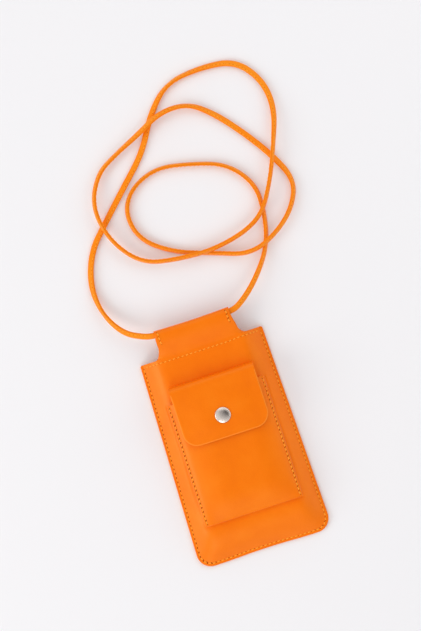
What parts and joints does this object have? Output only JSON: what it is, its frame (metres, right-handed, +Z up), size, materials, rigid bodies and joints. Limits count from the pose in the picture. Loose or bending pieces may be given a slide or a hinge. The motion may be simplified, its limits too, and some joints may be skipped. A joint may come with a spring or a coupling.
{
  "type": "phone pouch",
  "caption": "Flat stitched leather phone pouch, open behind its folded neck, with a snapped flap pocket on its front and a long cord held in the neck's fold.",
  "frame": {"origin": "under the middle of the pouch without its cord, on the surface that its back lies on", "axes": "+X across the pouch, to the right when the front faces the viewer with the neck up; +Y along the pouch towards the neck; +Z up out of the front"},
  "size_m": [0.181, 0.369, 0.0257],
  "materials": {
    "leather": "fine grain, satin",
    "cord_leather": "cut and folded strip, satin",
    "thread": "waxed thread",
    "snap_metal": "polished nickel",
    "spring_steel": "drawn wire"
  },
  "bodies": {
    "pouch": {"back_panel": "leather", "front_panel": "leather", "pocket_body": "leather", "flap_fold": "leather", "snap_stud": "snap_metal", "snap_post": "snap_metal", "neck_cord": "cord_leather", "cord_end_left": "cord_leather", "cord_end_right": "cord_leather", "seam_thread": "thread", "top_thread": "thread", "pocket_thread_left": "thread", "pocket_thread_right": "thread", "tack_thread_left": "thread", "tack_thread_right": "thread"},
    "flap": {"pocket_flap": "leather", "snap_cap": "snap_metal", "snap_socket": "snap_metal", "snap_spring": "spring_steel"}
  },
  "joints": [
    {"name": "flap_hinge", "type": "hinge", "parent": "pouch", "child": "flap", "pos_m": [0, 0.0426, 0.0184], "axis": [-1, 0, 0], "range_deg": [0, 160], "deforming": ["flap_fold", "snap_spring"]}
  ]
}
